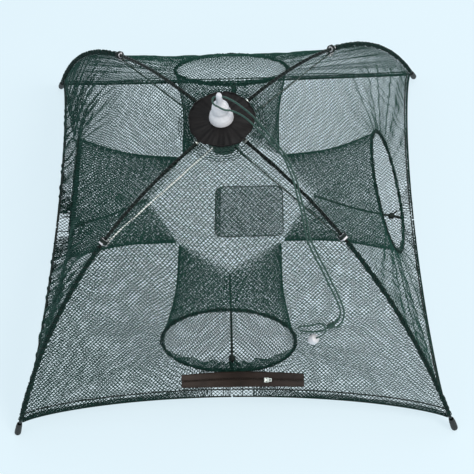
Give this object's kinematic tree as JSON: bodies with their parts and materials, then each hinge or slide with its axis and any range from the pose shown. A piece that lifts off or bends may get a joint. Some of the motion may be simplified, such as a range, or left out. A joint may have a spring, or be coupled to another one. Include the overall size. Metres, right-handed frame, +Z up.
{
  "type": "folding crab trap",
  "caption": "Folding umbrella-type crab trap: a square net room on bowed ribs, with a hooped net funnel on each side, a zip, a central hub cone and a pull cord.",
  "frame": {"origin": "on the surface the trap stands on, under the middle of its hub", "axes": "+Z up through the hub, -Y the front side, which has the zip; the ribs point half-way between the axes"},
  "size_m": [0.6624, 0.6624, 0.3904],
  "materials": {
    "fibreglass_rod": "glossy dark resin rod",
    "white_plastic": "moulded, slightly glossy",
    "steel": "bright",
    "rubber": "matt",
    "green_netting": "knotted mesh",
    "green_cord": "braided",
    "black_fabric": "woven",
    "brown_tape": "woven tape"
  },
  "bodies": {
    "hub": {"hub_cone": "white_plastic", "hub_patch": "black_fabric", "hub_body": "white_plastic", "hub_pin_front_right": "steel", "hub_pin_back_right": "steel", "hub_pin_back_left": "steel", "hub_pin_front_left": "steel", "cord_strand": "green_cord", "cord_strand_second": "green_cord", "cord_knot": "green_cord", "cord_end": "white_plastic"},
    "runner": {"runner": "white_plastic"},
    "rib_front_right": {"rib_rod_front_right": "fibreglass_rod", "rib_tongue_front_right": "steel", "rib_clip_front_right": "white_plastic", "clip_rivet_front_right": "steel", "foot_front_right": "rubber"},
    "stretcher_front_right": {"stretcher_front_right": "steel"},
    "floor_front_right": {"net_floor_front_right": "green_netting"},
    "rib_back_right": {"rib_rod_back_right": "fibreglass_rod", "rib_tongue_back_right": "steel", "rib_clip_back_right": "white_plastic", "clip_rivet_back_right": "steel", "foot_back_right": "rubber"},
    "stretcher_back_right": {"stretcher_back_right": "steel"},
    "floor_back_right": {"net_floor_back_right": "green_netting", "bait_pocket": "green_netting"},
    "rib_back_left": {"rib_rod_back_left": "fibreglass_rod", "rib_tongue_back_left": "steel", "rib_clip_back_left": "white_plastic", "clip_rivet_back_left": "steel", "foot_back_left": "rubber"},
    "stretcher_back_left": {"stretcher_back_left": "steel"},
    "floor_back_left": {"net_floor_back_left": "green_netting"},
    "rib_front_left": {"rib_rod_front_left": "fibreglass_rod", "rib_tongue_front_left": "steel", "rib_clip_front_left": "white_plastic", "clip_rivet_front_left": "steel", "foot_front_left": "rubber"},
    "stretcher_front_left": {"stretcher_front_left": "steel"},
    "floor_front_left": {"net_floor_front_left": "green_netting"},
    "hoop_front": {"hoop_front": "fibreglass_rod", "net_front": "green_netting", "funnel_front": "green_netting", "tie_front": "green_cord", "zip_tape": "brown_tape"},
    "hoop_right": {"hoop_right": "fibreglass_rod", "net_right": "green_netting", "funnel_right": "green_netting", "tie_right": "green_cord"},
    "hoop_back": {"hoop_back": "fibreglass_rod", "net_back": "green_netting", "funnel_back": "green_netting", "tie_back": "green_cord"},
    "hoop_left": {"hoop_left": "fibreglass_rod", "net_left": "green_netting", "funnel_left": "green_netting", "tie_left": "green_cord"},
    "zip_slider": {"zip_slider": "steel"},
    "zip_tab": {"zip_tab": "steel"}
  },
  "joints": [
    {"name": "rib_front_left_fold", "type": "hinge", "parent": "hub", "child": "rib_front_left", "pos_m": [-0.0099, -0.0099, 0.329], "axis": [0.7071, -0.7071, 0], "range_deg": [0, 52], "deforming": ["net_front", "net_right", "net_back", "net_left", "funnel_front", "funnel_right", "funnel_back", "funnel_left", "tie_front", "tie_right", "tie_back", "tie_left", "net_floor_front_right", "net_floor_back_right", "net_floor_back_left", "net_floor_front_left", "zip_tape", "bait_pocket"]},
    {"name": "rib_front_right_fold", "type": "hinge", "parent": "hub", "child": "rib_front_right", "pos_m": [0.0099, -0.0099, 0.329], "axis": [0.7071, 0.7071, 0], "range_deg": [0, 52]},
    {"name": "rib_back_right_fold", "type": "hinge", "parent": "hub", "child": "rib_back_right", "pos_m": [0.0099, 0.0099, 0.329], "axis": [-0.7071, 0.7071, 0], "range_deg": [0, 52]},
    {"name": "rib_back_left_fold", "type": "hinge", "parent": "hub", "child": "rib_back_left", "pos_m": [-0.0099, 0.0099, 0.329], "axis": [-0.7071, -0.7071, 0], "range_deg": [0, 52]},
    {"name": "stretcher_front_left_swing", "type": "hinge", "parent": "rib_front_left", "child": "stretcher_front_left", "pos_m": [-0.15296, -0.15296, 0.28054], "axis": [-0.7071, 0.7071, 0], "range_deg": [0, 120.8]},
    {"name": "stretcher_front_right_swing", "type": "hinge", "parent": "rib_front_right", "child": "stretcher_front_right", "pos_m": [0.15296, -0.15296, 0.28054], "axis": [-0.7071, -0.7071, 0], "range_deg": [0, 120.8]},
    {"name": "stretcher_back_right_swing", "type": "hinge", "parent": "rib_back_right", "child": "stretcher_back_right", "pos_m": [0.15296, 0.15296, 0.28054], "axis": [0.7071, -0.7071, 0], "range_deg": [0, 120.8]},
    {"name": "stretcher_back_left_swing", "type": "hinge", "parent": "rib_back_left", "child": "stretcher_back_left", "pos_m": [-0.15296, 0.15296, 0.28054], "axis": [0.7071, 0.7071, 0], "range_deg": [0, 120.8]},
    {"name": "runner_slide", "type": "slide", "parent": "hub", "child": "runner", "axis": [0, 0, -1], "range_m": [0, 0.3322]},
    {"name": "hoop_front_carry", "type": "slide", "parent": "hub", "child": "hoop_front", "axis": [0, 0.9802, -0.198], "range_m": [0, 0.1515]},
    {"name": "hoop_right_carry", "type": "slide", "parent": "hub", "child": "hoop_right", "axis": [-0.9767, 0, -0.2147], "range_m": [0, 0.1398]},
    {"name": "hoop_back_carry", "type": "slide", "parent": "hub", "child": "hoop_back", "axis": [0, -0.9802, -0.198], "range_m": [0, 0.1515]},
    {"name": "hoop_left_carry", "type": "slide", "parent": "hub", "child": "hoop_left", "axis": [0.9767, 0, -0.2147], "range_m": [0, 0.1398]},
    {"name": "floor_front_left_lift", "type": "hinge", "parent": "rib_front_left", "child": "floor_front_left", "pos_m": [-0.31466, -0.31466, 0.032], "axis": [0.7071, -0.7071, 0], "range_deg": [0, 38]},
    {"name": "floor_front_right_lift", "type": "hinge", "parent": "rib_front_right", "child": "floor_front_right", "pos_m": [0.31466, -0.31466, 0.032], "axis": [0.7071, 0.7071, 0], "range_deg": [0, 38]},
    {"name": "floor_back_right_lift", "type": "hinge", "parent": "rib_back_right", "child": "floor_back_right", "pos_m": [0.31466, 0.31466, 0.032], "axis": [-0.7071, 0.7071, 0], "range_deg": [0, 38]},
    {"name": "floor_back_left_lift", "type": "hinge", "parent": "rib_back_left", "child": "floor_back_left", "pos_m": [-0.31466, 0.31466, 0.032], "axis": [-0.7071, -0.7071, 0], "range_deg": [0, 38]},
    {"name": "zip_slider_run", "type": "slide", "parent": "hoop_front", "child": "zip_slider", "axis": [0.9509, -0.1111, 0.2888], "range_m": [-0.035, 0.045]},
    {"name": "zip_tab_flip", "type": "hinge", "parent": "zip_slider", "child": "zip_tab", "pos_m": [0.04954, -0.27127, 0.06785], "axis": [-0.0386, -0.9686, -0.2455], "range_deg": [0, 165]}
  ],
  "couplings": [
    {"joint": "rib_front_right_fold", "follows": "rib_front_left_fold", "ratio": 1},
    {"joint": "rib_back_right_fold", "follows": "rib_front_left_fold", "ratio": 1},
    {"joint": "rib_back_left_fold", "follows": "rib_front_left_fold", "ratio": 1},
    {"joint": "stretcher_front_left_swing", "follows": "rib_front_left_fold", "ratio": 2.3224},
    {"joint": "stretcher_front_right_swing", "follows": "rib_front_left_fold", "ratio": 2.3224},
    {"joint": "stretcher_back_right_swing", "follows": "rib_front_left_fold", "ratio": 2.3224},
    {"joint": "stretcher_back_left_swing", "follows": "rib_front_left_fold", "ratio": 2.3224},
    {"joint": "runner_slide", "follows": "rib_front_left_fold", "m_per_rad": 0.36601},
    {"joint": "hoop_front_carry", "follows": "rib_front_left_fold", "m_per_rad": 0.16693},
    {"joint": "hoop_right_carry", "follows": "rib_front_left_fold", "m_per_rad": 0.15399},
    {"joint": "hoop_back_carry", "follows": "rib_front_left_fold", "m_per_rad": 0.16693},
    {"joint": "hoop_left_carry", "follows": "rib_front_left_fold", "m_per_rad": 0.15399},
    {"joint": "floor_front_left_lift", "follows": "rib_front_left_fold", "ratio": 0.73077},
    {"joint": "floor_front_right_lift", "follows": "rib_front_left_fold", "ratio": 0.73077},
    {"joint": "floor_back_right_lift", "follows": "rib_front_left_fold", "ratio": 0.73077},
    {"joint": "floor_back_left_lift", "follows": "rib_front_left_fold", "ratio": 0.73077}
  ]
}
